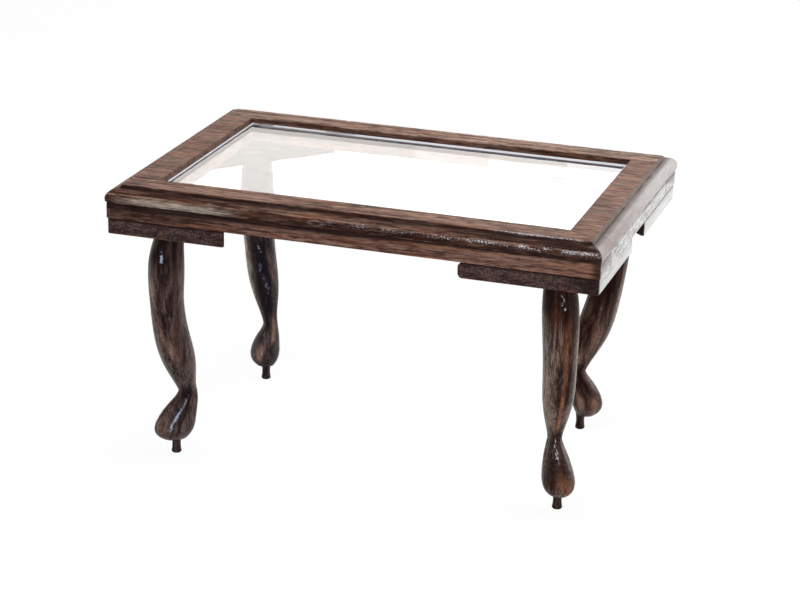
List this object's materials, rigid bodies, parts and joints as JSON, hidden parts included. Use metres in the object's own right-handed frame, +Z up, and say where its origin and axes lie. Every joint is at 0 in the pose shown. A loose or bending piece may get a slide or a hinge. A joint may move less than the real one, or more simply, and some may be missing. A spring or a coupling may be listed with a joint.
{
  "type": "display table",
  "caption": "Miniature display table: clear pane let into a moulded wooden frame, apron and corner blocks below, on cabriole legs.",
  "frame": {"origin": "on the floor under the middle of the top", "axes": "+X along the long side, +Y to the back, +Z up; the front faces -Y"},
  "size_m": [0.1016, 0.0678, 0.0598],
  "materials": {
    "frame_wood": "dark walnut stain, satin varnish, worn edges",
    "apron_wood": "dark walnut stain, satin varnish",
    "block_wood": "dark stain, thin matt varnish, fuzzy saw marks",
    "leg_wood": "dark walnut stain, glossy varnish, rubbed through on the curves",
    "clear_pane": "clear, polished"
  },
  "bodies": {
    "root": {"front_rail": "frame_wood", "back_rail": "frame_wood", "left_stile": "frame_wood", "right_stile": "frame_wood", "pane": "clear_pane", "front_apron": "apron_wood", "back_apron": "apron_wood", "left_apron": "apron_wood", "right_apron": "apron_wood", "block_front_left": "block_wood", "block_front_right": "block_wood", "block_back_left": "block_wood", "block_back_right": "block_wood", "leg_front_left": "leg_wood", "leg_front_right": "leg_wood", "leg_back_left": "leg_wood", "leg_back_right": "leg_wood"}
  },
  "joints": []
}
